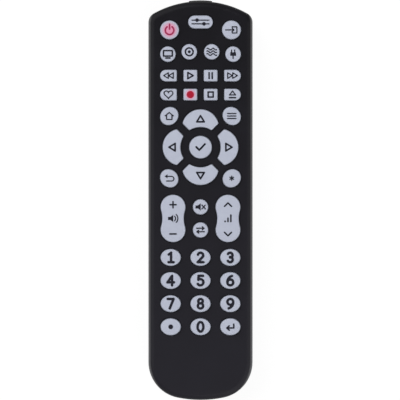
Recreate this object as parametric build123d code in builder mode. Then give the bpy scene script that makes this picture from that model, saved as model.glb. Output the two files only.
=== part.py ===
from build123d import *
from functools import cache
from math import asin, atan2, cos, degrees, pi, radians, sin, sqrt
import os

# A hand-held universal remote control, lying on its back on a table.
# X runs across it, +Y points to its infrared end, and +Z points up out of the key face.
# The origin is at the middle of its footprint, on the table. All sizes are in millimetres.

# Case: outline seen from above, and heights above the table
case_length = 206.4
case_width = 53.9
case_height = 22.0
parting_height = 12.5
head_arc_radius = 49.7
head_corner_radius = 5.4
tail_arc_radius = 59.0
tail_corner_radius = 18.8
wall = 2.0
front_edge_radius = 3.2
back_edge_radius = 4.0
inner_edge_radius = 1.0
parting_chamfer = 0.25

# The back is flat in the middle and sweeps up towards both ends
head_sweep_length = 73.0
head_sweep_rise = 4.6
tail_sweep_length = 19.0
tail_sweep_rise = 2.2

# Rubber feet set into the flat of the back: two in the case, and two in the battery door
foot_radius = 3.0
foot_thickness = 0.8
foot_proud = 0.25
foot_gap = 0.05
foot_edge_radius = 0.12
foot_inset = 8.0
foot_end_margin = 5.0

# Tongue and groove that locates the two case halves, and the snaps along it
tongue_height = 1.6
tongue_gap = 0.12
snap_length = 7.0
snap_depth = 0.45
snap_height = 0.7
snap_pitch = 42.0
snaps_per_side = 4

# Infrared window in the head end
window_width = 12.0
window_height = 7.2
window_proud = 0.6
window_flange = 1.4
window_flange_thickness = 1.2
window_gap = 0.12
window_edge_radius = 0.45

# Keys: stack from the key face down to the board
key_proud = 1.5
key_gap = 0.22
opening_chamfer = 0.2
key_edge_radius = 0.55
key_crown = 0.32
key_travel = 1.2
key_flange_lap = 0.6
key_flange_thickness = 0.8
key_flange_gap = 0.2
stem_radius = 1.9
pill_radius = 1.6
pill_thickness = 0.4
pill_clearance = 0.05
rocker_angle = 5.0
rocker_tab_length = 3.2
rocker_tab_lap = 0.9
rocker_pill_gap = 0.1
rocker_crown = 0.7

# Keypad mat: one rubber sheet with a raised collar round each key
mat_thickness = 1.0
mat_clearance = 0.15
collar_gap = 0.2
collar_width = 0.45
collar_height = 1.3
stem_hole_gap = 0.35
rocker_stem_hole_gap = 0.75
mat_side_gap = 0.9
head_end_gap = 0.4

# Key sizes, and where the rows and columns lie
side_margin = 6.05
lower_field_inset = 0.25
power_key_radius = 4.9
power_row_drop = 15.0
setup_key_length = 12.8
setup_key_width = 6.8
setup_row_drop = 10.9
device_key_radius = 4.05
device_inner_pitch = 11.6
device_row_drop = 26.3
device_outer_drop = 27.5
transport_key_height = 6.1
transport_end_key_width = 8.7
transport_mid_key_width = 7.2
transport_mid_pitch = 10.5
transport_corner_radius = 0.7
transport_row_drop = 38.6
transport_row_pitch = 9.8
pad_drop = 75.6
ok_key_radius = 5.9
pad_inner_radius = 10.35
pad_lobe_radius = 9.6
pad_lobe_offset = 10.0
pad_half_gap = 2.05
pad_corner_radius = 0.9
pad_stem_reach = 15.0
corner_key_half_length = 5.0
corner_key_half_width = 4.5
corner_key_rise = 16.1
rocker_drop = 112.45
rocker_lobe_radius = 6.45
rocker_lobe_pitch = 11.7
rocker_half_waist = 5.6
small_key_radius = 4.0
small_key_pitch = 11.9
digit_key_half_width = 5.25
digit_key_half_height = 4.4
digit_row_drop = 132.6
digit_row_pitch = 11.95

# Circuit board, its screws and the bosses they run into
board_thickness = 1.2
board_side_gap = 0.6
board_tail_margin = 12.5
boss_radius = 2.3
boss_clearance = 0.4
screw_radius = 0.9
screw_length = 4.2
screw_head_radius = 1.75
screw_head_height = 1.2
screw_recess_width = 0.5
screw_recess_depth = 0.7
screw_fit = 0.05
head_screw_x = 10.2
head_screw_drop = 7.7
upper_screw_drop = 19.2
waist_screw_x = 7.2
waist_screw_drop = 126.9
tail_screw_x = 14.0
tail_screw_drop = 189.0

# Posts in the back case that hold the board up against the bosses
post_radius = 1.4
post_x = 19.0
first_post_drop = 32.0
post_pitch = 29.0
post_rows = 4

# Battery bay: two AAA cells side by side, with a sprung contact for each
cell_radius = 5.25
cell_length = 44.5
cell_nub_radius = 1.9
cell_nub_length = 0.8
cell_edge_radius = 0.5
cell_spacing = 11.2
cell_side_gap = 0.65
cell_end_gap = 0.1
cell_ceiling_gap = 0.3
bay_drop = 132.4
bay_ceiling_height = 13.2
bay_wall = 1.2
contact_thickness = 0.3
contact_width = 8.6
contact_height = 8.6
contact_tail_width = 2.0
contact_slot_gap = 0.2
spring_wire_radius = 0.25
spring_length = 5.2
spring_base_radius = 3.3
spring_tip_radius = 1.7
spring_turns = 3
spring_bend_radius = 0.6

# Battery door: the whole lower back, drawn off towards the tail on two side rails
door_thickness = 1.7
door_gap = 0.2
door_step = 0.15
door_height = 6.0
door_lead = 4.0
core_wall = 1.4
rail_length = 44.0
rail_depth = 0.7
rail_thickness = 0.9
rail_height = 4.2
rail_lead = 3.0
rail_gap = 0.15
tab_width = 12.0
tab_length = 1.2
tab_thickness = 0.8
tab_gap = 0.15
grip_count = 6
grip_pitch = 2.0
grip_width = 0.9
grip_depth = 0.4
grip_length = 14.0
grip_lead = 6.0

# Parts soldered to the board
led_radius = 2.5
led_flange_radius = 2.9
led_flange_thickness = 1.0
led_length = 8.6
led_window_gap = 0.4
led_lead_width = 0.5
led_lead_spacing = 2.54
led_lead_run = 2.2
led_spacing = 6.2
lamp_size = 1.6
lamp_height = 0.6
lamp_reach = 3.2
lamp_gap = 0.3
chip_length = 18.0
chip_width = 7.5
chip_height = 2.3
chip_standoff = 0.15
chip_drop = 70.0
chip_lead_pitch = 1.27
chip_leads_per_side = 14
chip_lead_width = 0.42
chip_lead_thickness = 0.25
chip_lead_reach = 1.4
resonator_length = 7.4
resonator_depth = 3.2
resonator_height = 5.0
resonator_drop = 90.0
resonator_x = 8.0
capacitor_radius = 3.15
capacitor_length = 11.0
capacitor_drop = 112.0
capacitor_x = -9.0
small_part_length = 2.0
small_part_width = 1.25
small_part_height = 0.55
small_part_pitch = 4.0
small_part_count = 6
small_part_drop = 52.0
capacitor_edge_radius = 0.5
part_gap = 0.05

overrun = 1.0

# Places worked out from the sizes above
head_y = (case_length - window_proud) / 2
tail_y = head_y - case_length
half_width = case_width / 2
keypad_half_width = half_width - side_margin
lower_half_width = keypad_half_width - lower_field_inset
inner_face = case_height - wall
flange_top = inner_face - key_flange_gap
flange_bottom = flange_top - key_flange_thickness
mat_top = flange_bottom - key_travel - mat_clearance
board_top = mat_top - mat_thickness
board_bottom = board_top - board_thickness
key_top = case_height + key_proud
collar_inner = key_gap + key_flange_lap + collar_gap
pad_y = head_y - pad_drop
rocker_y = head_y - rocker_drop
head_flat_y = head_y - head_sweep_length
tail_flat_y = tail_y + tail_sweep_length
foot_x = half_width - foot_inset
case_foot_y = head_flat_y - foot_end_margin
door_foot_y = tail_flat_y + foot_end_margin


def corner_centre(end_radius, corner_radius):
    """Distance along Y from the centre of an end arc to the centre of its corner circle."""
    return sqrt((end_radius - corner_radius) ** 2 - (half_width - corner_radius) ** 2)


def case_outline(inset):
    """The case's outline from above, drawn in by inset: straight sides, a shallow arc over each
    end, and corner arcs tangent to both. Every inset outline keeps the same arc centres."""
    head_centre_y = head_y - head_arc_radius
    tail_centre_y = tail_y + tail_arc_radius
    head_corner = (half_width - head_corner_radius,
                   head_centre_y + corner_centre(head_arc_radius, head_corner_radius))
    tail_corner = (half_width - tail_corner_radius,
                   tail_centre_y - corner_centre(tail_arc_radius, tail_corner_radius))
    head_angle = degrees(atan2(head_corner[1] - head_centre_y, head_corner[0]))
    tail_angle = degrees(atan2(tail_centre_y - tail_corner[1], tail_corner[0]))
    side = half_width - inset
    with BuildSketch() as outline:
        with BuildLine():
            Line((side, tail_corner[1]), (side, head_corner[1]))
            CenterArc(head_corner, head_corner_radius - inset, 0, head_angle)
            CenterArc((0, head_centre_y), head_arc_radius - inset, head_angle, 180 - 2 * head_angle)
            CenterArc((-head_corner[0], head_corner[1]), head_corner_radius - inset,
                      180 - head_angle, head_angle)
            Line((-side, head_corner[1]), (-side, tail_corner[1]))
            CenterArc((-tail_corner[0], tail_corner[1]), tail_corner_radius - inset, 180, tail_angle)
            CenterArc((0, tail_centre_y), tail_arc_radius - inset, 180 + tail_angle,
                      180 - 2 * tail_angle)
            CenterArc(tail_corner, tail_corner_radius - inset, -tail_angle, tail_angle)
        make_face()
    return outline.sketch


def sweep_radius(length, rise):
    """Radius of the arc that leaves the flat back tangentially and climbs by rise over length."""
    return (length**2 + rise**2) / (2 * rise)


def back_height(y):
    """Height of the case's outer back surface above the table, at a place along Y."""
    if y > head_flat_y:
        radius = sweep_radius(head_sweep_length, head_sweep_rise)
        return foot_proud + radius - sqrt(radius**2 - (y - head_flat_y) ** 2)
    if y < tail_flat_y:
        radius = sweep_radius(tail_sweep_length, tail_sweep_rise)
        return foot_proud + radius - sqrt(radius**2 - (tail_flat_y - y) ** 2)
    return foot_proud


def side_profile(lift):
    """Side view of the room above the table raised by lift, as a face in Y and Z."""
    head_radius = sweep_radius(head_sweep_length, head_sweep_rise)
    tail_radius = sweep_radius(tail_sweep_length, tail_sweep_rise)
    head_turn = degrees(asin((head_sweep_length + overrun) / head_radius))
    tail_turn = degrees(asin((tail_sweep_length + overrun) / tail_radius))
    with BuildSketch() as profile:
        with BuildLine():
            tail_arc = CenterArc((tail_flat_y, tail_radius), tail_radius - lift, 270 - tail_turn, tail_turn)
            flat = Line(tail_arc @ 1, (head_flat_y, lift))
            head_arc = CenterArc((head_flat_y, head_radius), head_radius - lift, 270, head_turn)
            Polyline(head_arc @ 1, ((head_arc @ 1).X, parting_height + overrun),
                     ((tail_arc @ 0).X, parting_height + overrun), tail_arc @ 0)
        make_face()
    return profile.sketch


def back_block(inset, lift, edge_radius):
    """A solid block from the back surface up to the parting line, drawn in from the case's sides by
    inset and from its back by lift, with its back edges rounded."""
    with BuildPart() as block:
        with BuildSketch():
            add(case_outline(inset))
        extrude(amount=parting_height)
        with BuildSketch(Plane.YZ):
            add(side_profile(foot_proud + lift))
        extrude(amount=case_width, both=True, mode=Mode.INTERSECT)
        back_faces = block.faces().filter_by(lambda face: face.normal_at().Z < -0.5)
        fillet(back_faces.edges().filter_by(Axis.X, reverse=True), edge_radius)
    return block.part


def slab(y_from, y_to, z_from, z_to):
    """A box across the whole case, between two places along Y and two heights."""
    with BuildPart() as block:
        with Locations((0, (y_from + y_to) / 2, (z_from + z_to) / 2)):
            Box(case_width + 2 * overrun, y_to - y_from, z_to - z_from)
    return block.part


def round_outline(radius):
    """A round key's outline, as a function of how far it is grown."""
    def drawn(grow):
        with BuildSketch() as outline:
            Circle(radius + grow)
        return outline.sketch
    return drawn


def oval_outline(half_length, half_width_across):
    def drawn(grow):
        with BuildSketch() as outline:
            Ellipse(half_length + grow, half_width_across + grow)
        return outline.sketch
    return drawn


def slot_outline(length, width):
    def drawn(grow):
        with BuildSketch() as outline:
            SlotOverall(length + 2 * grow, width + 2 * grow)
        return outline.sketch
    return drawn


def block_outline(width, height, corner_radius):
    def drawn(grow):
        with BuildSketch() as outline:
            RectangleRounded(width + 2 * grow, height + 2 * grow, corner_radius + grow)
        return outline.sketch
    return drawn


def bullet_outline(width, height, corner_radius):
    """Square at the right end, a half circle at the left end."""
    def drawn(grow):
        half_height = height / 2 + grow
        round_x = -width / 2 + height / 2
        right_x = width / 2 + grow
        with BuildSketch() as outline:
            with Locations(((round_x + right_x) / 2, 0)):
                Rectangle(right_x - round_x, 2 * half_height)
            fillet(outline.vertices().group_by(Axis.X)[-1], corner_radius + grow)
            with Locations((round_x, 0)):
                Circle(half_height)
        return outline.sketch
    return drawn


def pad_outline(grow):
    """One arm of the direction pad, upwards from the pad's centre: a circle with the round OK key's
    clearing taken out of it, cut off along both diagonals."""
    apex = (pad_half_gap - grow) * sqrt(2)
    reach = pad_lobe_offset + pad_lobe_radius + grow + overrun
    with BuildSketch() as outline:
        with Locations((0, pad_lobe_offset)):
            Circle(pad_lobe_radius + grow)
        Circle(pad_inner_radius - grow, mode=Mode.SUBTRACT)
        with BuildLine():
            Polyline((0, apex), (reach - apex, reach), (apex - reach, reach), close=True)
        make_face(mode=Mode.INTERSECT)
        fillet(outline.vertices(), pad_corner_radius)
    return outline.sketch


def rocker_outline(grow):
    """Two round lobes joined by a waist that is hollowed by arcs tangent to both."""
    half_pitch = rocker_lobe_pitch / 2
    waist_radius = (rocker_half_waist**2 + half_pitch**2 - rocker_lobe_radius**2) / (
        2 * (rocker_lobe_radius - rocker_half_waist))
    waist_x = rocker_half_waist + waist_radius
    tilt = degrees(atan2(half_pitch, waist_x))
    lobe = rocker_lobe_radius + grow
    with BuildSketch() as outline:
        with BuildLine():
            CenterArc((0, half_pitch), lobe, -tilt, 180 + 2 * tilt)
            CenterArc((-waist_x, 0), waist_radius - grow, -tilt, 2 * tilt)
            CenterArc((0, -half_pitch), lobe, 180 - tilt, 180 + 2 * tilt)
            CenterArc((waist_x, 0), waist_radius - grow, 180 - tilt, 2 * tilt)
        make_face()
    return outline.sketch


def biarc(start, start_direction, end, end_direction):
    """Adds two arcs that leave start and reach end in the given directions and meet tangentially."""
    chord = end - start
    along = chord.dot(start_direction + end_direction)
    bend = 2 * (1 - start_direction.dot(end_direction))
    handle = (sqrt(along**2 + bend * chord.dot(chord)) - along) / bend
    first_corner = start + start_direction * handle
    last_corner = end - end_direction * handle
    meeting = (first_corner + last_corner) / 2
    TangentArc(start, meeting, tangent=start_direction)
    TangentArc(meeting, end, tangent=(last_corner - first_corner).normalized())


def spring_path():
    """Centre line of a battery spring on its own axis: it rises straight from the contact plate,
    bends over, winds inwards up a cone in quarter turns, and ends straight against the cell."""
    wire = 2 * spring_wire_radius
    rise_start = wire + spring_bend_radius
    pitch = (spring_length - 2 * rise_start) / spring_turns
    draw_in = (spring_base_radius - spring_tip_radius) / spring_turns
    winding = [Vector(spring_base_radius, spring_bend_radius, rise_start)]
    headings = [Vector(0, 1, 0)]
    for quarter in range(1, 4 * spring_turns):
        angle = quarter * pi / 2
        radius = spring_base_radius - draw_in * quarter / 4
        winding.append(Vector(radius * cos(angle), radius * sin(angle), rise_start + pitch * quarter / 4))
        inwards = Vector(cos(angle), sin(angle), 0) * (-draw_in / (2 * pi))
        round_about = Vector(-sin(angle), cos(angle), 0) * radius
        headings.append((inwards + round_about + Vector(0, 0, pitch / (2 * pi))).normalized())
    winding.append(Vector(spring_tip_radius, -spring_bend_radius, spring_length - rise_start))
    headings.append(Vector(0, 1, 0))
    with BuildLine() as path:
        Line((spring_base_radius, 0, 0), (spring_base_radius, 0, wire))
        TangentArc((spring_base_radius, 0, wire), winding[0], tangent=(0, 0, 1))
        for n in range(len(winding) - 1):
            biarc(winding[n], headings[n], winding[n + 1], headings[n + 1])
        TangentArc(winding[-1], (spring_tip_radius, 0, spring_length - wire), tangent=headings[-1])
        Line((spring_tip_radius, 0, spring_length - wire), (spring_tip_radius, 0, spring_length))
    return path.wire()


def spring_gap(path):
    """Least gap between the spring's turns, measured between points along its centre line that lie
    more than half a turn apart."""
    samples = 60 * spring_turns
    points = [path.position_at(n / samples) for n in range(samples + 1)]
    apart = samples // (2 * spring_turns)
    return min((points[n] - points[m]).length
               for n in range(samples + 1) for m in range(n + apart, samples + 1)) - 2 * spring_wire_radius


def battery_spring(x, y, way):
    """The spring standing on a contact plate at x, y and reaching towards way (1 or -1) along Y."""
    path = Plane((x, y, cell_height), x_dir=(0, 0, 1), z_dir=(0, way, 0)) * spring_path()
    with BuildPart() as spring:
        with BuildSketch(Plane(path @ 0, z_dir=path % 0)):
            Circle(spring_wire_radius)
        sweep(path=path)
    return spring.part


class Key:
    """One key: its outline, where its centre lies, how far it is turned, where its stems stand on
    it, and whether it rocks on its waist."""

    def __init__(self, name, outline, x, y, turn=0, stems=((0, 0, 0),), rocks=False):
        self.name = name
        self.outline = outline
        self.place = Location((x, y, 0), (0, 0, turn))
        self.stems = stems
        self.rocks = rocks


@cache
def key_body(outline, stems, rocks):
    """A key about its own centre: a cap whose top is part of a large sphere, a flange that stops it
    under the case, and a stem with its contact pill. A rocker has a tab at each side of its waist in
    place of the flange, and two stems."""
    crown = rocker_crown if rocks else key_crown
    rocker_dip = sin(radians(rocker_angle)) * (rocker_lobe_pitch / 2 + pill_radius)
    pill_bottom = board_top + (rocker_dip + rocker_pill_gap if rocks else key_travel + pill_clearance)
    top_centre = sum((Vector(stem) for stem in stems), Vector()) / len(stems)
    with BuildPart() as body:
        with BuildSketch(Plane.XY.offset(flange_bottom)) as cap:
            add(outline(0))
        extrude(amount=key_top - flange_bottom)
        reach = max(cap.sketch.bounding_box().size.X, cap.sketch.bounding_box().size.Y) / 2
        crown_radius = (reach**2 + crown**2) / (2 * crown)
        with Locations((top_centre.X, top_centre.Y, key_top - crown_radius)):
            Sphere(crown_radius, mode=Mode.INTERSECT)
        fillet(body.faces().sort_by(Axis.Z)[-1].edges(), key_edge_radius)
        with BuildSketch(Plane.XY.offset(flange_bottom)):
            if rocks:
                Rectangle(2 * (rocker_half_waist + rocker_tab_lap), rocker_tab_length)
            else:
                add(outline(key_gap + key_flange_lap))
        extrude(amount=key_flange_thickness)
        with BuildSketch(Plane.XY.offset(pill_bottom)):
            with Locations(*stems):
                Circle(pill_radius)
        extrude(amount=pill_thickness)
        with BuildSketch(Plane.XY.offset(pill_bottom + pill_thickness)):
            with Locations(*stems):
                Circle(stem_radius)
        extrude(amount=flange_bottom - pill_bottom - pill_thickness)
    return body.part


def lay_out_keys():
    """Every key of the remote, from the head end to the tail."""
    power = round_outline(power_key_radius)
    device = round_outline(device_key_radius)
    small = round_outline(small_key_radius)
    corner = oval_outline(corner_key_half_length, corner_key_half_width)
    digit = oval_outline(digit_key_half_width, digit_key_half_height)
    end_key = bullet_outline(transport_end_key_width, transport_key_height, transport_corner_radius)
    mid_key = block_outline(transport_mid_key_width, transport_key_height, transport_corner_radius)

    power_x = keypad_half_width - power_key_radius
    power_y = head_y - power_row_drop
    keys = [
        Key("key_power", power, -power_x, power_y),
        Key("key_setup", slot_outline(setup_key_length, setup_key_width), 0, head_y - setup_row_drop),
        Key("key_input", power, power_x, power_y),
    ]
    device_x = keypad_half_width - device_key_radius
    keys += [
        Key("key_screen", device, -device_x, head_y - device_outer_drop),
        Key("key_disc", device, -device_inner_pitch / 2, head_y - device_row_drop),
        Key("key_stream", device, device_inner_pitch / 2, head_y - device_row_drop),
        Key("key_plug", device, device_x, head_y - device_outer_drop),
    ]
    end_x = keypad_half_width - transport_end_key_width / 2
    mid_x = transport_mid_pitch / 2
    for row, names in enumerate((("rewind", "play", "pause", "forward"),
                                 ("favourite", "record", "stop", "eject"))):
        row_y = head_y - transport_row_drop - row * transport_row_pitch
        keys += [
            Key("key_" + names[0], end_key, -end_x, row_y),
            Key("key_" + names[1], mid_key, -mid_x, row_y),
            Key("key_" + names[2], mid_key, mid_x, row_y),
            Key("key_" + names[3], end_key, end_x, row_y, turn=180),
        ]
    for arm, name in enumerate(("up", "left", "down", "right")):
        keys.append(Key("key_" + name, pad_outline, 0, pad_y, turn=90 * arm,
                        stems=((0, pad_stem_reach, 0),)))
    keys.append(Key("key_ok", round_outline(ok_key_radius), 0, pad_y))
    corner_x = keypad_half_width - sqrt((corner_key_half_length**2 + corner_key_half_width**2) / 2)
    for name, side, end in (("home", -1, 1), ("menu", 1, 1), ("back", -1, -1), ("star", 1, -1)):
        keys.append(Key("key_" + name, corner, side * corner_x, pad_y + end * corner_key_rise,
                        turn=-45 * side * end))
    rocker_x = lower_half_width - rocker_lobe_radius
    rocker_stems = ((0, rocker_lobe_pitch / 2, 0), (0, -rocker_lobe_pitch / 2, 0))
    keys += [
        Key("rocker_volume", rocker_outline, -rocker_x, rocker_y, stems=rocker_stems, rocks=True),
        Key("rocker_channel", rocker_outline, rocker_x, rocker_y, stems=rocker_stems, rocks=True),
        Key("key_mute", small, 0, rocker_y + small_key_pitch / 2),
        Key("key_last", small, 0, rocker_y - small_key_pitch / 2),
    ]
    digit_x = lower_half_width - digit_key_half_width
    for row, names in enumerate((("1", "2", "3"), ("4", "5", "6"), ("7", "8", "9"),
                                 ("dot", "0", "enter"))):
        for column, name in enumerate(names):
            keys.append(Key("key_" + name, digit, (column - 1) * digit_x,
                            head_y - digit_row_drop - row * digit_row_pitch))
    return keys


keys = lay_out_keys()

screw_places = [
    (-head_screw_x, head_y - head_screw_drop), (head_screw_x, head_y - head_screw_drop),
    (0, head_y - upper_screw_drop),
    (-waist_screw_x, head_y - waist_screw_drop), (waist_screw_x, head_y - waist_screw_drop),
    (-tail_screw_x, head_y - tail_screw_drop), (tail_screw_x, head_y - tail_screw_drop),
]
snap_places = [(n - (snaps_per_side - 1) / 2) * snap_pitch for n in range(snaps_per_side)]

# Battery bay, worked out from the cells
bay_head_y = head_y - bay_drop
bay_length = cell_length + spring_length + cell_end_gap + 2 * contact_thickness
bay_tail_y = bay_head_y - bay_length
bay_y = (bay_head_y + bay_tail_y) / 2
bay_width = cell_spacing + 2 * cell_radius + 2 * cell_side_gap
cell_height = bay_ceiling_height - cell_ceiling_gap - cell_radius
bay_top = bay_ceiling_height + bay_wall
door_head_y = bay_head_y + door_lead
core_inset = door_thickness + door_gap
core_lift = door_step + core_inset
door_face = foot_proud + door_step
core_face = foot_proud + core_lift
core_head_y = door_head_y + door_gap
step_height = door_height + door_gap
rail_head_y = door_head_y - rail_lead
rail_y = rail_head_y - rail_length / 2
tab_height = door_face + door_thickness / 2

# Infrared lamp below the board, and the window in front of it
led_height = board_bottom - led_flange_radius - led_window_gap / 2
window_back = wall + window_gap + window_flange_thickness
led_tip_y = head_y - window_back - led_window_gap
led_rear_y = led_tip_y - led_length

# Both ends of the board and its mat, the posts below them, and the lamp beside the power key
board_head_y = head_y - window_back - head_end_gap
board_tail_y = tail_y + board_tail_margin
post_places = [head_y - first_post_drop - n * post_pitch for n in range(post_rows)]
lamp_place = (power_key_radius - keypad_half_width + lamp_reach, head_y - power_row_drop)


def keep(part, name):
    """Labels a finished piece and writes it as its own file."""
    part.label = name
    export_step(part, f"parts/{name}.step")


def window_opening():
    """The block that both case halves leave free for the infrared window."""
    with BuildPart() as opening:
        with Locations((0, head_y - wall / 2, led_height)):
            Box(window_width + 2 * window_gap, 2 * wall + overrun, window_height + 2 * window_gap)
    return opening.part


def foot_pair(y, radius):
    """Two discs standing on the table at a place along Y, as tall as a foot."""
    with BuildPart() as pair:
        with BuildSketch():
            with Locations((-foot_x, y), (foot_x, y)):
                Circle(radius)
        extrude(amount=foot_thickness)
    return pair.part


os.makedirs("parts", exist_ok=True)

# Front case: the top shell, with an opening for every key
with BuildPart() as front_case:
    with BuildSketch(Plane.XY.offset(parting_height)):
        add(case_outline(0))
    extrude(amount=case_height - parting_height)
    fillet(front_case.faces().sort_by(Axis.Z)[-1].edges(), front_edge_radius)
    chamfer(front_case.faces().sort_by(Axis.Z)[0].edges(), parting_chamfer)
    with BuildSketch(Plane.XY.offset(parting_height)):
        add(case_outline(wall))
    extrude(amount=inner_face - parting_height, mode=Mode.SUBTRACT)
    with BuildSketch(Plane.XY.offset(parting_height)):
        add(case_outline(wall / 2))
    extrude(amount=tongue_height + tongue_gap, mode=Mode.SUBTRACT)
    with BuildSketch(Plane.XY.offset(inner_face)):
        add([key.place * key.outline(key_gap) for key in keys])
    extrude(amount=wall + overrun, mode=Mode.SUBTRACT)
    chamfer(front_case.faces().sort_by(Axis.Z)[-1].inner_wires().edges(), opening_chamfer)
    with BuildSketch(Plane.XY.offset(board_top)):
        with Locations(*screw_places):
            Circle(boss_radius)
    extrude(amount=inner_face - board_top)
    with BuildSketch(Plane.XY.offset(board_top)):
        with Locations(*screw_places):
            Circle(screw_radius + screw_fit)
    extrude(amount=screw_length - board_thickness + screw_fit, mode=Mode.SUBTRACT)
    add(window_opening(), mode=Mode.SUBTRACT)
    for side in (-1, 1):
        with Locations(*[(side * (half_width - wall / 2), y, parting_height + tongue_height / 2)
                         for y in snap_places]):
            Box(2 * (snap_depth + tongue_gap), snap_length + 2 * tongue_gap,
                snap_height + 2 * tongue_gap, mode=Mode.SUBTRACT)
keep(front_case.part, "front_case")

# Back case: the bottom shell. Its lower part is stepped in by the thickness of the battery door,
# and holds the battery bay
with BuildPart() as back_core:
    add(back_block(core_inset, core_lift, back_edge_radius - core_inset))
    add(slab(tail_y - overrun, core_head_y, -overrun, case_height), mode=Mode.INTERSECT)

with BuildPart() as back_room:
    add(back_block(core_inset + core_wall, core_lift + core_wall, inner_edge_radius))
    add(slab(tail_y - overrun, core_head_y + core_wall, -overrun, case_height), mode=Mode.INTERSECT)
    with BuildSketch(Plane.XY.offset(step_height + core_wall)):
        add(case_outline(wall))
    extrude(amount=parting_height + overrun - step_height - core_wall)

with BuildPart() as head_room:
    add(back_block(wall, wall, inner_edge_radius))
    add(slab(core_head_y + core_wall, head_y, -overrun, case_height), mode=Mode.INTERSECT)

with BuildPart() as back_case:
    add(back_block(0, 0, back_edge_radius))
    chamfer(back_case.faces().sort_by(Axis.Z)[-1].edges(), parting_chamfer)
    add(slab(tail_y - overrun, core_head_y, -overrun, step_height), mode=Mode.SUBTRACT)
    add(back_core.part)
    add(back_room.part, mode=Mode.SUBTRACT)
    add(head_room.part, mode=Mode.SUBTRACT)
    # battery bay: walls and ceiling, open towards the door, with a slot for each soldered contact
    with Locations((0, bay_y, (core_face + bay_top) / 2)):
        Box(bay_width + 2 * bay_wall, bay_length + 2 * bay_wall, bay_top - core_face)
    with Locations((0, bay_y, 0)):
        Box(bay_width, bay_length, 2 * bay_ceiling_height, mode=Mode.SUBTRACT)
    with Locations(*[(side * cell_spacing / 2, bay_head_y - contact_thickness / 2, bay_top)
                     for side in (-1, 1)]):
        Box(contact_tail_width + 2 * contact_slot_gap, contact_thickness + 2 * contact_slot_gap,
            2 * (bay_wall + overrun), mode=Mode.SUBTRACT)
    # grooves for the door's rails, and the slot for its tab
    for side in (-1, 1):
        with Locations((side * half_width, (tail_y + rail_head_y) / 2, rail_height)):
            Box(2 * (door_thickness + rail_depth + rail_gap), rail_head_y - tail_y + 2 * rail_gap,
                rail_thickness + 2 * rail_gap, mode=Mode.SUBTRACT)
    with Locations((0, door_head_y, tab_height)):
        Box(tab_width + 2 * tab_gap, 2 * (tab_length + tab_gap), tab_thickness + 2 * tab_gap,
            mode=Mode.SUBTRACT)
    # tongue round the rim, with its snaps
    with BuildSketch(Plane.XY.offset(parting_height)):
        add(case_outline(wall / 2 + tongue_gap))
        add(case_outline(wall), mode=Mode.SUBTRACT)
    extrude(amount=tongue_height)
    for side in (-1, 1):
        with Locations(*[(side * (half_width - wall / 2 - tongue_gap), y, parting_height + tongue_height / 2)
                         for y in snap_places]):
            Box(2 * snap_depth, snap_length, snap_height)
    # posts that hold the board up against the bosses of the front case
    for y in post_places:
        with BuildSketch(Plane.XY.offset(back_height(y) + wall / 2)):
            with Locations((-post_x, y), (post_x, y)):
                Circle(post_radius)
        extrude(amount=board_bottom - back_height(y) - wall / 2)
    add(window_opening(), mode=Mode.SUBTRACT)
    add(foot_pair(case_foot_y, foot_radius + foot_gap), mode=Mode.SUBTRACT)
keep(back_case.part, "back_case")

# Battery door: the outer skin of the lower back, with a rail inside each wall and a tab in front
with BuildPart() as battery_door:
    add(back_block(0, door_step, back_edge_radius))
    add(slab(tail_y - overrun, door_head_y, -overrun, door_height), mode=Mode.INTERSECT)
    add(back_block(door_thickness, door_step + door_thickness, back_edge_radius - door_thickness),
        mode=Mode.SUBTRACT)
    for side in (-1, 1):
        with Locations((side * (half_width - door_thickness), rail_y, rail_height)):
            Box(2 * rail_depth, rail_length, rail_thickness)
    with Locations((0, door_head_y, tab_height)):
        Box(tab_width, 2 * tab_length, tab_thickness)
    with Locations((0, door_head_y - grip_lead, door_face)):
        with GridLocations(0, grip_pitch, 1, grip_count):
            Box(grip_length, grip_width, 2 * grip_depth, mode=Mode.SUBTRACT)
    add(foot_pair(door_foot_y, foot_radius + foot_gap), mode=Mode.SUBTRACT)
keep(battery_door.part, "battery_door")

# Feet: a rubber disc in each recess of the case and of the door
for name, y in (("case_feet", case_foot_y), ("door_feet", door_foot_y)):
    with BuildPart() as feet:
        add(foot_pair(y, foot_radius))
        fillet(feet.faces().group_by(Axis.Z)[0].edges(), foot_edge_radius)
    keep(feet.part, name)

# Infrared window: a plate curved with the case, held from inside by a flange
with BuildPart() as infrared_window:
    with BuildSketch(Plane.XY.offset(led_height - window_height / 2)):
        with Locations((0, head_y - head_arc_radius)):
            Circle(head_arc_radius + window_proud)
        with Locations((0, head_y)):
            Rectangle(window_width, 2 * window_back, mode=Mode.INTERSECT)
    extrude(amount=window_height)
    fillet(infrared_window.faces().sort_by(Axis.Y)[-1].edges(), window_edge_radius)
    with BuildSketch(Plane.XY.offset(led_height - window_height / 2 - window_flange)):
        with Locations((0, head_y - head_arc_radius)):
            Circle(head_arc_radius - wall - window_gap)
        with Locations((0, head_y)):
            Rectangle(window_width + 2 * window_flange, 2 * window_back, mode=Mode.INTERSECT)
    extrude(amount=window_height + 2 * window_flange)
keep(infrared_window.part, "infrared_window")

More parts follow.
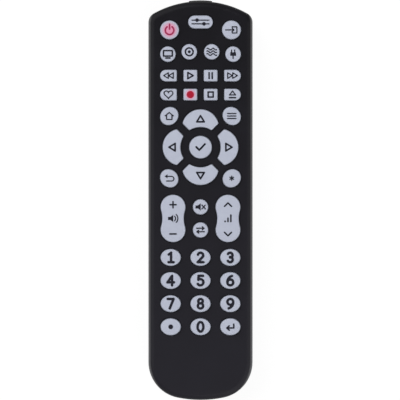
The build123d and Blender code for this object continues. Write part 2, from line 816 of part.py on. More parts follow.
# Keypad mat: a sheet on the board, with a collar round each key and a hole under each stem
with BuildPart() as keypad_mat:
    with BuildSketch(Plane.XY.offset(board_top)):
        add(case_outline(wall + mat_side_gap))
        with Locations((0, (board_tail_y + board_head_y) / 2)):
            Rectangle(case_width, board_head_y - board_tail_y, mode=Mode.INTERSECT)
    extrude(amount=mat_thickness)
    with BuildSketch(Plane.XY.offset(mat_top)):
        add([key.place * key.outline(collar_inner + collar_width) for key in keys])
        add([key.place * key.outline(collar_inner) for key in keys], mode=Mode.SUBTRACT)
    extrude(amount=collar_height)
    with BuildSketch(Plane.XY.offset(board_top)):
        with Locations(*screw_places):
            Circle(boss_radius + boss_clearance)
        with Locations(*[key.place * Location(stem) for key in keys if key.rocks for stem in key.stems]):
            Circle(stem_radius + rocker_stem_hole_gap)
        with Locations(*[key.place * Location(stem) for key in keys if not key.rocks for stem in key.stems]):
            Circle(stem_radius + stem_hole_gap)
        with Locations(lamp_place):
            Rectangle(lamp_size + 2 * lamp_gap, lamp_size + 2 * lamp_gap)
    extrude(amount=mat_thickness + collar_height + overrun, mode=Mode.SUBTRACT)
keep(keypad_mat.part, "keypad_mat")

# Keys: keys of one shape are worked out once, and each stands in its own place
for key in keys:
    with BuildPart() as made:
        add(key.place * key_body(key.outline, key.stems, key.rocks))
    keep(made.part, key.name)

# Circuit board, with the holes for its screws
with BuildPart() as circuit_board:
    with BuildSketch(Plane.XY.offset(board_bottom)):
        add(case_outline(wall + board_side_gap))
        with Locations((0, (board_tail_y + board_head_y) / 2)):
            Rectangle(case_width, board_head_y - board_tail_y, mode=Mode.INTERSECT)
        with Locations(*screw_places):
            Circle(screw_radius + screw_fit, mode=Mode.SUBTRACT)
    extrude(amount=board_thickness)
keep(circuit_board.part, "circuit_board")

# Board screws: driven from behind, through the board into the front case
with BuildPart() as board_screws:
    with BuildSketch(Plane.XY.offset(board_bottom)):
        with Locations(*screw_places):
            Circle(screw_radius)
    extrude(amount=screw_length)
    with BuildSketch(Plane.XY.offset(board_bottom)):
        with Locations(*screw_places):
            Circle(screw_head_radius)
    extrude(amount=-screw_head_height)
    with BuildSketch(Plane.XY.offset(board_bottom - screw_head_height)):
        with Locations(*screw_places):
            Rectangle(screw_head_radius, screw_recess_width)
            Rectangle(screw_recess_width, screw_head_radius)
    extrude(amount=screw_recess_depth, mode=Mode.SUBTRACT)
keep(board_screws.part, "board_screws")

# Infrared lamps: two domed lamps behind the window, with their leads bent up to the board
with BuildPart() as infrared_lamps:
    for side in (-1, 1):
        lamp_x = side * led_spacing / 2
        with BuildSketch(Plane((lamp_x, led_rear_y, led_height), z_dir=(0, 1, 0))):
            Circle(led_radius)
        extrude(amount=led_length - led_radius)
        with Locations((lamp_x, led_tip_y - led_radius, led_height)):
            Sphere(led_radius)
        with BuildSketch(Plane((lamp_x, led_rear_y, led_height), z_dir=(0, 1, 0))):
            Circle(led_flange_radius)
        extrude(amount=led_flange_thickness)
        for lead in (-1, 1):
            lead_x = lamp_x + lead * led_lead_spacing / 2
            with Locations((lead_x, led_rear_y - led_lead_run / 2, led_height)):
                Box(led_lead_width, led_lead_run, led_lead_width)
            with Locations((lead_x, led_rear_y - led_lead_run, (led_height + board_bottom) / 2)):
                Box(led_lead_width, led_lead_width, board_bottom - led_height)
keep(infrared_lamps.part, "infrared_lamps")

# Indicator lamp: on the board beside the power key's stem
with BuildPart() as indicator_lamp:
    with Locations((*lamp_place, board_top + lamp_height / 2)):
        Box(lamp_size, lamp_size, lamp_height)
    chamfer(indicator_lamp.faces().sort_by(Axis.Z)[-1].edges(), lamp_height / 4)
keep(indicator_lamp.part, "indicator_lamp")

# Control chip under the board, with a row of bent leads along each long side
with BuildPart() as control_chip:
    chip_place = (0, head_y - chip_drop)
    chip_bottom = board_bottom - chip_standoff - chip_height
    with Locations((*chip_place, chip_bottom + chip_height / 2)):
        Box(chip_width, chip_length, chip_height)
    chamfer(control_chip.edges().group_by(Axis.Z)[0], chip_standoff)
    for side in (-1, 1):
        foot_x = side * (chip_width / 2 + chip_lead_reach / 2)
        knee_x = side * (chip_width / 2 + chip_lead_thickness / 2)
        lead_drop = chip_standoff + chip_height / 2
        with Locations((foot_x, chip_place[1], board_bottom - chip_lead_thickness / 2)):
            with GridLocations(0, chip_lead_pitch, 1, chip_leads_per_side):
                Box(chip_lead_reach, chip_lead_width, chip_lead_thickness)
        with Locations((knee_x, chip_place[1], board_bottom - lead_drop / 2)):
            with GridLocations(0, chip_lead_pitch, 1, chip_leads_per_side):
                Box(chip_lead_thickness, chip_lead_width, lead_drop)
keep(control_chip.part, "control_chip")

# Ceramic resonator under the board
with BuildPart() as ceramic_resonator:
    with Locations((resonator_x, head_y - resonator_drop, board_bottom - resonator_height / 2)):
        Box(resonator_length, resonator_depth, resonator_height)
    fillet(ceramic_resonator.edges().filter_by(Axis.Z), resonator_depth / 4)
keep(ceramic_resonator.part, "ceramic_resonator")

# Smoothing capacitor: a can lying under the board
with BuildPart() as smoothing_capacitor:
    with BuildSketch(Plane((capacitor_x, head_y - capacitor_drop, board_bottom - capacitor_radius - part_gap),
                           z_dir=(0, 1, 0))):
        Circle(capacitor_radius)
    extrude(amount=capacitor_length / 2, both=True)
    fillet(smoothing_capacitor.edges(), capacitor_edge_radius)
keep(smoothing_capacitor.part, "smoothing_capacitor")

# Surface-mount parts: a row of small blocks under the board
with BuildPart() as surface_mount_parts:
    with Locations((0, head_y - small_part_drop, board_bottom - small_part_height / 2)):
        with GridLocations(small_part_pitch, 0, small_part_count, 1):
            Box(small_part_width, small_part_length, small_part_height)
keep(surface_mount_parts.part, "surface_mount_parts")

# Battery cells: side by side, the left one's button towards the head and the right one's away
for number, side in ((1, -1), (2, 1)):
    button_end_y = bay_head_y if side < 0 else bay_tail_y
    nub_y = button_end_y + side * (contact_thickness + cell_end_gap)
    inwards = (0, side, 0)
    with BuildPart() as cell:
        with BuildSketch(Plane((side * cell_spacing / 2, nub_y, cell_height), z_dir=inwards)):
            Circle(cell_nub_radius)
        extrude(amount=cell_nub_length)
        with BuildSketch(Plane((side * cell_spacing / 2, nub_y + side * cell_nub_length, cell_height),
                               z_dir=inwards)):
            Circle(cell_radius)
        extrude(amount=cell_length - cell_nub_length)
        fillet(cell.edges().filter_by(GeomType.CIRCLE).filter_by(lambda e: e.radius == cell_radius),
               cell_edge_radius)
    keep(cell.part, f"battery_cell_{number}")

# Battery contacts: a flat plate for the left cell's button and a sprung plate for the right cell at
# the head, each soldered to the board, and a plate with a spring that links both cells at the tail
head_plate_y = bay_head_y - contact_thickness
tail_plate_y = bay_tail_y + contact_thickness
with BuildPart() as positive_contact:
    with Locations((-cell_spacing / 2, bay_head_y - contact_thickness / 2, cell_height)):
        Box(contact_width, contact_thickness, contact_height)
    with Locations((-cell_spacing / 2, bay_head_y - contact_thickness / 2, (cell_height + board_bottom) / 2)):
        Box(contact_tail_width, contact_thickness, board_bottom - cell_height)
keep(positive_contact.part, "positive_contact")

with BuildPart() as negative_contact:
    with Locations((cell_spacing / 2, bay_head_y - contact_thickness / 2, cell_height)):
        Box(contact_width, contact_thickness, contact_height)
    with Locations((cell_spacing / 2, bay_head_y - contact_thickness / 2, (cell_height + board_bottom) / 2)):
        Box(contact_tail_width, contact_thickness, board_bottom - cell_height)
    add(battery_spring(cell_spacing / 2, head_plate_y, -1))
keep(negative_contact.part, "negative_contact")

with BuildPart() as linking_contact:
    with Locations((0, bay_tail_y + contact_thickness / 2, cell_height)):
        Box(cell_spacing + contact_width, contact_thickness, contact_height)
    add(battery_spring(-cell_spacing / 2, tail_plate_y, 1))
keep(linking_contact.part, "linking_contact")

print("least gap in a battery spring, mm:", round(spring_gap(spring_path()), 2))
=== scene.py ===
"""Looks of a universal remote control, seen straight from above under soft studio light.

The part's shapes come from the frame. This script adds the printed signs on the keys, the materials,
the table, the light and the camera. Lengths are in millimetres, and MM turns them into metres.
"""
import math

import bpy
import numpy as np
from mathutils.bvhtree import BVHTree
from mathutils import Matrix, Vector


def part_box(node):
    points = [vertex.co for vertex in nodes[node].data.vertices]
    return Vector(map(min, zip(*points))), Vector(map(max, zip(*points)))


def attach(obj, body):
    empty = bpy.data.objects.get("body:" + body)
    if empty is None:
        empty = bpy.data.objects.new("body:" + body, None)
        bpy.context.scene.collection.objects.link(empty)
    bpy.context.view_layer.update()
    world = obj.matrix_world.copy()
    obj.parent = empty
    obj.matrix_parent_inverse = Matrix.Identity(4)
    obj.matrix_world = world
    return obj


MM = 0.001

# Camera: far above the case, so that its sides barely spread. view_depth is in metres
picture_width = 207.12
picture_centre_x = -0.26
camera_distance = 3000.0
outline_height = 18.0
sensor_width = 36.0
view_depth = 10.0

# Studio, in metres and watts: two square lamps over opposite corners of the table. They stand aslant,
# so that the key face doesn't mirror them up to the camera, and are large, so that it mirrors them
# softly to any other view
lamp_across = 1.15
lamp_along = 0.96
lamp_height = 1.24
lamp_side = 2.6
head_power = 46.0
tail_power = 33.0
room_glow = 0.14
table_side = 4.0

# Printed signs: spacing of the points that draw them, the ink's lift and thickness, how far above a
# key its height is probed from, the widths of the strokes, and half the side of each sign's square
ink_step = 0.12
ink_lift = 0.015
ink_thickness = 0.03
probe_height = 5.0
digit_stroke = 1.35
sign_stroke = 0.82
fine_stroke = 0.62
arrow_stroke = 0.9
sign_reach = 5.6
rocker_end_reach = 3.0
rocker_middle_reach = 3.2

# How far the arrows lie from the middle of the direction pad, and the end signs from a rocker's
arm_distance = 14.7
rocker_top_distance = 7.1
rocker_bottom_distance = 8.0

# How strongly the case mirrors the room, with its long sides polished by the hand, and how strongly the
# keys and the ink do. How bright the table is: in view, in what it throws back, and mirrored close to
# the case, where a painted shadow darkens it
case_sheen = 0.09
side_sheen = 0.9
key_sheen = 0.3
ink_sheen = 0.16
table_glow = 0.91
bounced_glow = 0.7
shaded_glow = 0.35
shade_start = 4.0
shade_end = 34.0

# How far the pink tint reaches from the middle of a key
power_tint_reach = 4.4
record_tint_reach = 3.1

# Length of an infrared lamp's resin body, and the bare metal at each end of a cell
led_body = 8.6
bare_end = 1.4

# Colours of the keys: their tops, the painted shade on their shoulders and the tint on two of them
KEY = "B4B9C8"
KEY_PAINTED_SHADE = "7C808C"
PINK = "D98EAC"

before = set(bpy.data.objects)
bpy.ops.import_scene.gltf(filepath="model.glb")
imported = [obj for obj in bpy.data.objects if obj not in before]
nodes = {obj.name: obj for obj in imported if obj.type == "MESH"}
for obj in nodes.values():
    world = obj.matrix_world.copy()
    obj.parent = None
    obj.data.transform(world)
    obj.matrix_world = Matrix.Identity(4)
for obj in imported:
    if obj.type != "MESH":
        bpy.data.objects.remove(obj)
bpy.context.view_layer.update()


def linear(colour):
    """A colour written as six hex digits, turned into linear light with full opacity."""
    parts = [int(colour[i:i + 2], 16) / 255 for i in (0, 2, 4)]
    return [p / 12.92 if p <= 0.04045 else ((p + 0.055) / 1.055) ** 2.4 for p in parts] + [1.0]


class Finish:
    """A node material, built up by adding nodes to it."""

    def __init__(self, name):
        self.material = bpy.data.materials.new(name)
        self.material.use_nodes = True
        self.tree = self.material.node_tree
        self.tree.nodes.clear()
        self.output = self.add("ShaderNodeOutputMaterial")
        self.shader = self.add("ShaderNodeBsdfPrincipled")
        self.show(self.shader)
        self.place = self.add("ShaderNodeTexCoord")

    def fill(self, socket, value):
        """Gives a socket a value, or links it where the value is another node's output."""
        if isinstance(value, bpy.types.NodeSocket):
            self.tree.links.new(value, socket)
        else:
            socket.default_value = value

    def add(self, kind, inputs=None, **settings):
        """Adds a node, with its settings and the values or links of its inputs."""
        node = self.tree.nodes.new(kind)
        for key, value in settings.items():
            setattr(node, key, value)
        for key, value in (inputs or {}).items():
            self.fill(node.inputs[key], value)
        return node

    def show(self, node):
        """Makes a node the material's surface."""
        self.fill(self.output.inputs["Surface"], node.outputs[0])

    def set(self, **values):
        """Sets the shader's own sockets. An underscore in a name stands for a space."""
        for key, value in values.items():
            self.fill(self.shader.inputs[key.replace("_", " ")], value)

    def noise(self, grain, detail=2.0):
        """Noise whose patches are about one grain across, in millimetres."""
        return self.add("ShaderNodeTexNoise", {"Vector": self.place.outputs["Object"],
                                               "Scale": 1 / (grain * MM), "Detail": detail}).outputs["Fac"]

    def spread(self, value, low, high, start=0.3, end=0.7):
        """A value from start to end, turned into one from low to high."""
        return self.add("ShaderNodeMapRange", {"Value": value, "From Min": start, "From Max": end,
                                               "To Min": low, "To Max": high}).outputs["Result"]

    def blend(self, factor, first, second):
        """Two colours mixed by a factor."""
        return self.add("ShaderNodeMix", {0: factor, 6: first, 7: second}, data_type="RGBA").outputs[2]

    def work(self, operation, first, second=0.0):
        """The result of arithmetic on one or two values or links."""
        return self.add("ShaderNodeMath", {0: first, 1: second}, operation=operation).outputs[0]

    def along(self, axis):
        """Place along an axis, in metres."""
        split = self.add("ShaderNodeSeparateXYZ", {"Vector": self.place.outputs["Object"]})
        return split.outputs[axis]

    def bump(self, height, depth):
        """Roughens the surface by a height pattern that is depth millimetres deep."""
        node = self.add("ShaderNodeBump", {"Height": height, "Distance": depth * MM, "Strength": 1.0})
        self.set(Normal=node.outputs["Normal"])

    def facing(self, axis):
        """How far the surface faces along an axis, from -1 to 1."""
        faced = self.add("ShaderNodeNewGeometry")
        return self.add("ShaderNodeSeparateXYZ", {"Vector": faced.outputs["Normal"]}).outputs[axis]

    def shoulder(self, steep, level):
        """1 where the surface is steep and 0 where it is level."""
        return self.spread(self.facing("Z"), 1.0, 0.0, steep, level)

    def worn_edges(self, radius, strength):
        """How far the surface bends within a radius of each point, for rubbed edges."""
        bevel = self.add("ShaderNodeBevel", {"Radius": radius * MM}, samples=4)
        flat = self.add("ShaderNodeNewGeometry")
        turn = self.add("ShaderNodeVectorMath", {0: bevel.outputs["Normal"], 1: flat.outputs["Normal"]},
                        operation="DOT_PRODUCT")
        return self.spread(turn.outputs["Value"], strength, 0.0, 0.7, 0.98)


def case_plastic():
    """Black moulded plastic with a fine spark-eroded grain and painted shade: darker towards the head, a
    little paler towards the tail.
    """
    finish = Finish("black ABS, spark-eroded")
    low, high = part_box("front_case")
    # Painted shade: the colour darkens from the tail towards the head, standing in for how light falls
    # along the case.
    lengthwise_painted_shade = finish.spread(finish.along("Y"), 0.0, 1.0, high[1], low[1])
    colour = finish.blend(lengthwise_painted_shade, linear("08070C"), linear("1F1E24"))
    patches = finish.spread(finish.noise(14.0), 0.0, 0.2)
    colour = finish.blend(patches, colour, linear("222128"))
    colour = finish.blend(finish.worn_edges(0.5, 0.35), colour, linear("3A3A42"))
    sheen = finish.spread(finish.work("ABSOLUTE", finish.facing("X")), case_sheen, side_sheen, 0.55, 0.85)
    finish.set(Base_Color=colour, Roughness=finish.spread(finish.noise(9.0), 0.34, 0.37),
               Specular_IOR_Level=sheen)
    finish.bump(finish.noise(0.28, 3.0), 0.008)
    return finish.material


def key_rubber(name="grey silicone", centre=None, reach=None):
    """Grey silicone with painted shade on its shoulders. A key with a centre is pink around it, out to a
    reach.
    """
    finish = Finish(name)
    colour = finish.blend(finish.spread(finish.noise(3.0), 0.0, 0.3), linear(KEY), linear("A8ABBE"))
    # Painted shade: the steep shoulders of the keys are darkened in colour.
    colour = finish.blend(finish.shoulder(0.45, 0.992), colour, linear(KEY_PAINTED_SHADE))
    if centre is not None:
        away = finish.add("ShaderNodeVectorMath", {0: finish.place.outputs["Object"], 1: centre},
                          operation="DISTANCE")
        glow = finish.spread(away.outputs["Value"], 1.0, 0.0, 0.55 * reach * MM, reach * MM)
        colour = finish.blend(glow, colour, linear(PINK))
    finish.set(Base_Color=colour, Roughness=finish.spread(finish.noise(2.0), 0.4, 0.5),
               Specular_IOR_Level=key_sheen)
    finish.bump(finish.noise(0.15), 0.004)
    return finish.material


def soft_rubber(name, colour, grain):
    """Plain rubber with a faint grain."""
    finish = Finish(name)
    finish.set(Base_Color=linear(colour), Roughness=finish.spread(finish.noise(2.0), 0.55, 0.7))
    finish.bump(finish.noise(grain), 0.006)
    return finish.material


def ink(name, colour):
    """Printed ink, slightly uneven."""
    finish = Finish(name)
    finish.set(Base_Color=linear(colour), Roughness=finish.spread(finish.noise(0.6), 0.45, 0.6),
               Specular_IOR_Level=ink_sheen)
    return finish.material


def smoked_window():
    """Near-black plastic that lets infrared through."""
    finish = Finish("smoked polycarbonate")
    finish.set(Base_Color=linear("140F16"), Roughness=finish.spread(finish.noise(5.0), 0.05, 0.12),
               Transmission_Weight=0.08, Specular_IOR_Level=0.2)
    return finish.material


def metal(name, colour, roughness):
    """Bare or plated metal with fine marks."""
    finish = Finish(name)
    finish.set(Base_Color=linear(colour), Metallic=1.0,
               Roughness=finish.spread(finish.noise(0.4), roughness - 0.07, roughness + 0.07))
    return finish.material


def laminate():
    """Paper laminate with a fibrous mottle."""
    finish = Finish("paper laminate")
    colour = finish.blend(finish.noise(0.8, 4.0), linear("9A7C42"), linear("B99A5C"))
    finish.set(Base_Color=colour, Roughness=0.55)
    finish.bump(finish.noise(0.4), 0.01)
    return finish.material


def jacketed(name, start, end, jacket, bare):
    """A jacket between two places along Y, in metres, and bare metal outside them."""
    finish = Finish(name)
    y = finish.along("Y")
    after, before = finish.work("GREATER_THAN", y, start), finish.work("LESS_THAN", y, end)
    inside = finish.work("MULTIPLY", after, before)
    finish.set(Base_Color=finish.blend(inside, linear(bare), linear(jacket)),
               Metallic=finish.spread(inside, 1.0, 0.1, 0.0, 1.0),
               Roughness=finish.spread(inside, 0.25, 0.38, 0.0, 1.0))
    return finish.material


def moulded(name, colour, roughness):
    """A small moulded or dipped component."""
    finish = Finish(name)
    mottle = finish.blend(finish.spread(finish.noise(0.7), 0.0, 0.4), linear(colour), linear("3A3A3E"))
    finish.set(Base_Color=mottle, Roughness=roughness)
    finish.bump(finish.noise(0.2), 0.005)
    return finish.material


# Signs: each shape is a function of x and y arrays that gives the distance to its edge in
# millimetres, negative inside


def stroke(points, width):
    """A round-ended line of a width through points."""
    def distance(x, y):
        best = np.full(x.shape, np.inf)
        for (ax, ay), (bx, by) in zip(points, points[1:]):
            ux, uy = bx - ax, by - ay
            t = np.clip(((x - ax) * ux + (y - ay) * uy) / (ux * ux + uy * uy), 0, 1)
            best = np.minimum(best, np.hypot(x - ax - t * ux, y - ay - t * uy))
        return best - width / 2
    return distance


def curve(place, start, end, width, steps=32):
    """A round-ended line along place(t), for t from start to end."""
    return stroke([place(start + (end - start) * i / steps) for i in range(steps + 1)], width)


def arc(cx, cy, radius, start, end, width):
    """Part of a circle from one angle to another, in degrees."""
    def place(angle):
        return (cx + radius * math.cos(math.radians(angle)), cy + radius * math.sin(math.radians(angle)))
    return curve(place, start, end, width)


def disc(cx, cy, radius):
    """A filled circle."""
    return lambda x, y: np.hypot(x - cx, y - cy) - radius


def ring(cx, cy, radius, width):
    """A circle drawn with a line of a width."""
    return lambda x, y: abs(np.hypot(x - cx, y - cy) - radius) - width / 2


def filled(points, rounding=0.1):
    """A convex shape through points that run anticlockwise, with slightly rounded corners."""
    def distance(x, y):
        worst = np.full(x.shape, -np.inf)
        for (ax, ay), (bx, by) in zip(points, points[1:] + points[:1]):
            length = math.hypot(bx - ax, by - ay)
            worst = np.maximum(worst, ((by - ay) * (x - ax) - (bx - ax) * (y - ay)) / length)
        return worst - rounding
    return distance


def loop(points, width):
    """The outline of a shape through points."""
    return stroke(points + points[:1], width)


def join(*shapes):
    """All the shapes together."""
    return lambda x, y: np.minimum.reduce([shape(x, y) for shape in shapes])


def turned(shape, angle, dx=0.0, dy=0.0):
    """A shape turned by an angle in degrees, then moved."""
    c, s = math.cos(math.radians(angle)), math.sin(math.radians(angle))
    return lambda x, y: shape(c * (x - dx) + s * (y - dy), -s * (x - dx) + c * (y - dy))


def speaker():
    """A loudspeaker: a small box with a cone."""
    box = filled([(-2.5, -0.7), (-1.2, -0.7), (-1.2, 0.7), (-2.5, 0.7)])
    return join(box, filled([(-1.9, 0), (0, -1.8), (0, 1.8)]))


def heart(width, height, line):
    """The outline of a heart, from its usual formula."""
    def place(t):
        rise = 13 * math.cos(t) - 5 * math.cos(2 * t) - 2 * math.cos(3 * t) - math.cos(4 * t)
        return (width * math.sin(t) ** 3 / 2, height * rise / 29 + 0.2)
    return curve(place, 0, 2 * math.pi, line, 40)


def wave(y, line):
    """A level wave, 5 mm long."""
    return curve(lambda t: (t, y + 0.45 * math.sin(2.2 * t)), -2.5, 2.5, line)


def digits():
    """The ten digits, 2 * 2.45 mm tall along the middle of their strokes."""
    top, w = 2.45, digit_stroke
    six = join(ring(0, -0.95, 1.5, w), arc(1.7, -0.7, 3.2, 105, 180, w))
    return {
        "0": curve(lambda t: (1.5 * math.cos(t), top * math.sin(t)), 0, 2 * math.pi, w),
        "1": join(stroke([(-1.0, 1.5), (0.2, top), (0.2, -top)], w),
                  stroke([(-1.1, -top), (1.5, -top)], w)),
        "2": join(arc(0, 1.05, 1.4, -25, 165, w), stroke([(1.27, 0.46), (-1.45, -top), (1.5, -top)], w)),
        "3": join(arc(-0.1, 1.2, 1.25, -90, 150, w), arc(-0.1, -1.1, 1.35, -150, 90, w)),
        "4": stroke([(0.7, -top), (0.7, top), (-1.7, -0.9), (1.7, -0.9)], w),
        "5": join(stroke([(1.3, top), (-1.0, top), (-1.1, 0.4)], w), arc(-0.1, -0.85, 1.6, -145, 128, w)),
        "6": six,
        "7": stroke([(-1.5, top), (1.5, top), (-0.5, -top)], w),
        "8": join(ring(0, 1.3, 1.15, w), ring(0, -1.1, 1.35, w)),
        "9": turned(six, 180),
    }


def source_signs():
    """Signs of the keys at the head end, which choose what the remote speaks to."""
    w, f = sign_stroke, fine_stroke
    return {
        "power": join(arc(0, -0.2, 2.2, 125, 415, 0.85), stroke([(0, 0.5), (0, 2.9)], 0.85)),
        "setup": join(stroke([(-4.4, 0.95), (4.4, 0.95)], f), disc(-1.8, 0.95, 0.95),
                      stroke([(-4.4, -0.95), (4.4, -0.95)], f), disc(1.8, -0.95, 0.95)),
        "input": join(stroke([(0.4, 1.6), (2.8, 1.6), (2.8, -1.6), (0.4, -1.6)], f),
                      stroke([(-3.1, 0), (1.3, 0)], f), stroke([(0.3, 1.0), (1.3, 0), (0.3, -1.0)], f)),
        "screen": join(loop([(-2.3, -1.0), (2.3, -1.0), (2.3, 1.8), (-2.3, 1.8)], w),
                       stroke([(-1.1, -2.0), (1.1, -2.0)], w)),
        "disc": join(ring(0, 0, 2.0, w), disc(0, 0, 0.75)),
        "stream": join(wave(-1.4, f), wave(0, f), wave(1.4, f)),
        "plug": join(filled([(-1.4, -0.8), (1.4, -0.8), (1.4, 0.8), (-1.4, 0.8)]),
                     stroke([(-0.8, 1.0), (-0.8, 2.1)], f), stroke([(0.8, 1.0), (0.8, 2.1)], f),
                     stroke([(0, -0.8), (0, -2.2)], f)),
    }


def playing_signs():
    """Signs of the two rows of keys that play and record."""
    w, f = sign_stroke, fine_stroke
    triangle = loop([(-1.2, -1.45), (1.2, 0), (-1.2, 1.45)], f)
    forward = join(turned(triangle, 0, -1.3), turned(triangle, 0, 1.3))
    return {
        "rewind": turned(forward, 180),
        "forward": forward,
        "play": loop([(-1.3, -1.6), (1.5, 0), (-1.3, 1.6)], w),
        "pause": join(stroke([(-0.8, -1.5), (-0.8, 1.5)], w), stroke([(0.8, -1.5), (0.8, 1.5)], w)),
        "favourite": heart(4.6, 4.0, f),
        "record": disc(0, 0, 1.9),
        "stop": loop([(-1.3, -1.3), (1.3, -1.3), (1.3, 1.3), (-1.3, 1.3)], w),
        "eject": join(loop([(-1.6, -0.2), (1.6, -0.2), (0, 1.8)], f),
                      stroke([(-1.6, -1.6), (1.6, -1.6)], w)),
    }


def other_signs():
    """Signs around the direction pad, between the rockers and in the last row."""
    w, f = sign_stroke, fine_stroke
    shapes = {
        "home": join(stroke([(-2.1, 0.1), (0, 1.8), (2.1, 0.1)], f),
                     stroke([(-1.4, 0.4), (-1.4, -1.8), (1.4, -1.8), (1.4, 0.4)], f)),
        "menu": join(*[stroke([(-2.2, y), (2.2, y)], f) for y in (-1.3, 0.0, 1.3)]),
        "ok": stroke([(-2.2, 0.1), (-0.6, -1.5), (2.3, 1.6)], 1.0),
        "back": join(filled([(-2.3, 1.0), (-1.0, 0.1), (-1.0, 1.9)]), stroke([(-1.6, 1.0), (1.2, 1.0)], f),
                     arc(1.2, -0.2, 1.2, -90, 90, f), stroke([(1.2, -1.4), (-1.4, -1.4)], f)),
        "star": join(*[turned(stroke([(-1.1, 0), (1.1, 0)], f), 60 * n + 30) for n in range(3)]),
        "mute": join(speaker(), stroke([(0.7, -1.0), (2.5, 1.0)], f),
                     stroke([(0.7, 1.0), (2.5, -1.0)], f)),
        "last": join(stroke([(-2.0, 0.9), (1.8, 0.9)], f), stroke([(0.9, 1.7), (1.9, 0.9), (0.9, 0.1)], f),
                     stroke([(2.0, -0.9), (-1.8, -0.9)], f),
                     stroke([(-0.9, -1.7), (-1.9, -0.9), (-0.9, -0.1)], f)),
        "dot": disc(0, 0, 1.25),
        "enter": join(stroke([(1.8, 1.4), (1.8, -0.6), (-1.7, -0.6)], w),
                      stroke([(-0.6, 0.5), (-1.8, -0.6), (-0.6, -1.7)], w)),
    }
    arrow = loop([(-1.95, -1.6), (1.95, -1.6), (0, 1.6)], arrow_stroke)
    for turn, name in ((0, "up"), (90, "left"), (180, "down"), (270, "right")):
        shapes[name] = turned(arrow, turn)
    return shapes


def signs():
    """The sign on each key, as a shape around the key's centre. Words have a picture instead."""
    return {**source_signs(), **playing_signs(), **other_signs(), **digits()}


def key_surface(node):
    """The shape of a CAD node, for finding its height at a place."""
    mesh = nodes[node].data
    return BVHTree.FromPolygons([v.co for v in mesh.vertices], [p.vertices for p in mesh.polygons])


def print_sign(name, node, centre, shape, material, reach=sign_reach):
    """Prints a shape on a node's top. Points lie on a square grid of ink_step, those close to the
    edge move onto it along the slope, and each takes the height of the node's surface below it."""
    count = int(2 * reach / ink_step) + 1
    line = np.linspace(-reach, reach, count)
    x, y = np.meshgrid(line, line)
    d = shape(x, y)
    slope_y, slope_x = np.gradient(d, line, line)
    steep = np.maximum(np.hypot(slope_x, slope_y), 0.5)
    near = abs(d) < 0.75 * ink_step
    x = np.where(near, x - d * slope_x / steep**2, x)
    y = np.where(near, y - d * slope_y / steep**2, y)
    used = d < 0.5 * ink_step
    cells = used[:-1, :-1] & used[1:, :-1] & used[:-1, 1:] & used[1:, 1:]
    surface = key_surface(node)
    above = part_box(node)[1][2] + probe_height * MM
    numbers, points, faces = {}, [], []
    for row, column in zip(*np.nonzero(cells)):
        corners = [(row, column), (row, column + 1), (row + 1, column + 1), (row + 1, column)]
        for corner in corners:
            if corner not in numbers:
                px, py = centre[0] + x[corner] * MM, centre[1] + y[corner] * MM
                hit = surface.ray_cast((px, py, above), (0, 0, -1))[0]
                numbers[corner] = len(points) if hit else None
                if hit:
                    points.append((px, py, hit.z + ink_lift * MM))
        if all(numbers[corner] is not None for corner in corners):
            faces.append([numbers[corner] for corner in corners])
    mesh = bpy.data.meshes.new(name)
    mesh.from_pydata(points, [], faces)
    mesh.materials.append(material)
    sign = bpy.data.objects.new(name, mesh)
    bpy.context.scene.collection.objects.link(sign)
    film = sign.modifiers.new("film", "SOLIDIFY")
    film.thickness = ink_thickness * MM
    film.offset = 1.0
    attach(sign, node)


def middle(node):
    """The centre of a node seen from above, in metres."""
    low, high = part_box(node)
    return ((low[0] + high[0]) / 2, (low[1] + high[1]) / 2)


def print_keys():
    """The signs on all keys and rockers."""
    dark = ink("navy ink", "0C0C18")
    bright = {"power": ink("raspberry ink", "98284E"), "record": ink("crimson ink", "A4122E")}
    pad_x, pad_y = middle("key_ok")
    arms = {"up": (0, 1), "down": (0, -1), "left": (-1, 0), "right": (1, 0)}
    for key, shape in signs().items():
        node = "key_" + key
        centre = middle(node)
        if key in arms:
            centre = (pad_x + arms[key][0] * arm_distance * MM, pad_y + arms[key][1] * arm_distance * MM)
        print_sign("sign_" + key, node, centre, shape, bright.get(key, dark))
    bar = stroke([(-1.6, 0), (1.6, 0)], sign_stroke)
    caret = stroke([(-1.8, -0.8), (0, 0.9), (1.8, -0.8)], sign_stroke)
    waves = [arc(-0.4, 0, radius, -45, 45, fine_stroke) for radius in (1.7, 2.9)]
    loud = join(speaker(), *waves)
    bars = join(*[stroke([(1.5 * n - 1.5, -1.6), (1.5 * n - 1.5, 1.6 * n - 1.4)], sign_stroke)
                  for n in range(3)])
    for node, top, inner, bottom in (("rocker_volume", join(bar, turned(bar, 90)), loud, bar),
                                     ("rocker_channel", caret, bars, turned(caret, 180))):
        x, y = middle(node)
        print_sign("sign_" + node + "_top", node, (x, y + rocker_top_distance * MM), top, dark,
                   rocker_end_reach)
        print_sign("sign_" + node + "_middle", node, (x, y), inner, dark, rocker_middle_reach)
        print_sign("sign_" + node + "_bottom", node, (x, y - rocker_bottom_distance * MM), bottom, dark,
                   rocker_end_reach)


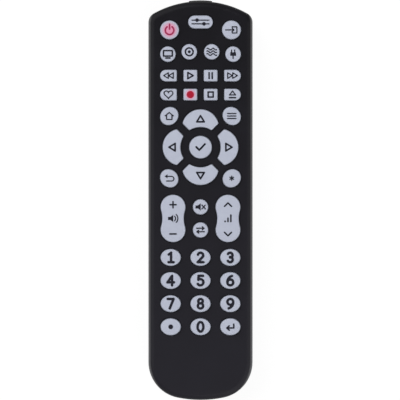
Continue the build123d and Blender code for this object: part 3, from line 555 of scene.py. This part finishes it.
def dress():
    """Gives every CAD node its material."""
    rubber = key_rubber()
    shell = case_plastic()
    nickel = metal("nickel plate", "C9C6BE", 0.22)
    led_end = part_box("infrared_lamps")[1][1]
    ceramic = moulded("dipped ceramic", "C08A3A", 0.4)
    foot = soft_rubber("black foot rubber", "1E1E20", 0.3)
    looks = {
        "front_case": shell, "back_case": shell, "battery_door": shell,
        "case_feet": foot, "door_feet": foot,
        "keypad_mat": soft_rubber("grey mat silicone", "A9ABB8", 0.2),
        "infrared_window": smoked_window(),
        "infrared_lamps": jacketed("tinted lamp resin and tinned leads", led_end - led_body * MM,
                                   led_end + MM, "8E93A8", "B9BCC2"),
        "indicator_lamp": moulded("indicator lamp resin", "C9A5A8", 0.2),
        "circuit_board": laminate(),
        "control_chip": moulded("black chip resin", "1D1D20", 0.6),
        "ceramic_resonator": ceramic, "surface_mount_parts": ceramic,
        "smoothing_capacitor": moulded("blue capacitor sleeve", "26324F", 0.3),
        "board_screws": metal("zinc plate", "B9BCC2", 0.34),
        "positive_contact": nickel, "negative_contact": nickel, "linking_contact": nickel,
    }
    for key, reach in (("key_power", power_tint_reach), ("key_record", record_tint_reach)):
        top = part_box(key)[1][2]
        looks[key] = key_rubber("tinted silicone, " + key, (*middle(key), top), reach)
    for cell in ("battery_cell_1", "battery_cell_2"):
        low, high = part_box(cell)
        looks[cell] = jacketed("cell jacket, " + cell, low[1] + bare_end * MM, high[1] - bare_end * MM,
                               "5B6E86", "C4C4C4")
    for name, node in nodes.items():
        if not node.material_slots:
            node.data.materials.append(None)
        for material_slot in node.material_slots:
            material_slot.material = looks.get(name, rubber)


def soft_light(name, side, power):
    """A square lamp on one side, -1 or 1, aimed at the middle of the case."""
    lamp = bpy.data.lights.new(name, "AREA")
    lamp.size, lamp.energy = lamp_side, power
    holder = bpy.data.objects.new(name, lamp)
    holder.location = (side * lamp_across, -side * lamp_along, lamp_height)
    holder.rotation_euler = (-holder.location).to_track_quat("-Z", "Y").to_euler()
    bpy.context.scene.collection.objects.link(holder)


def studio():
    """White table, dim room with a white view behind, and soft lamps."""
    world = bpy.data.worlds.new("room")
    bpy.context.scene.world = world
    world.use_nodes = True
    tree = world.node_tree
    back = tree.nodes["Background"]
    rays = tree.nodes.new("ShaderNodeLightPath").outputs
    shown = rays["Is Camera Ray"]
    for ray in ("Is Glossy Ray", "Is Transmission Ray"):
        either = tree.nodes.new("ShaderNodeMath")
        either.operation = "MAXIMUM"
        tree.links.new(shown, either.inputs[0])
        tree.links.new(rays[ray], either.inputs[1])
        shown = either.outputs[0]
    seen = tree.nodes.new("ShaderNodeMapRange")
    seen.inputs["To Min"].default_value = room_glow
    seen.inputs["To Max"].default_value = 1.0
    back.inputs["Color"].default_value = (1, 1, 1, 1)
    tree.links.new(shown, seen.inputs["Value"])
    tree.links.new(seen.outputs["Result"], back.inputs["Strength"])

    bpy.ops.mesh.primitive_plane_add(size=table_side)
    table = bpy.context.object
    table.name = "table"
    white = Finish("white table")
    white.set(Base_Color=linear("646464"), Roughness=0.9, Specular_IOR_Level=0.0)
    path = white.add("ShaderNodeLightPath")
    aside = [white.work("SUBTRACT", white.work("ABSOLUTE", white.along(axis)), reach)
             for axis, reach in zip("XY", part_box("front_case")[1])]
    # Painted shadow: mirrored rays see the table dimmer close to the case, from shaded_glow up to
    # table_glow.
    mirrored_with_painted_shadow = white.spread(white.work("MAXIMUM", *aside), shaded_glow, table_glow,
                            shade_start * MM, shade_end * MM)
    strength = 0.0
    for ray, amount in (("Is Camera Ray", table_glow), ("Is Transmission Ray", table_glow),
                        ("Is Glossy Ray", mirrored_with_painted_shadow), ("Is Diffuse Ray", bounced_glow)):
        strength = white.work("MAXIMUM", strength, white.work("MULTIPLY", path.outputs[ray], amount))
    glow = white.add("ShaderNodeEmission", {"Color": (1, 1, 1, 1), "Strength": strength})
    both = white.add("ShaderNodeAddShader", {0: white.shader.outputs[0], 1: glow.outputs[0]})
    white.show(both)
    table.data.materials.append(white.material)

    soft_light("head lamp", -1, head_power)
    soft_light("tail lamp", 1, tail_power)


def camera():
    """Straight down from far away, so that the picture is picture_width wide at the outline."""
    lens = bpy.data.cameras.new("camera")
    lens.sensor_width = sensor_width
    lens.lens = sensor_width * camera_distance / picture_width
    lens.clip_end = view_depth
    holder = bpy.data.objects.new("camera", lens)
    holder.location = (picture_centre_x * MM, 0, (camera_distance + outline_height) * MM)
    bpy.context.scene.collection.objects.link(holder)
    bpy.context.scene.camera = holder


dress()
print_keys()
studio()
camera()
bpy.context.scene.view_settings.view_transform = "Standard"
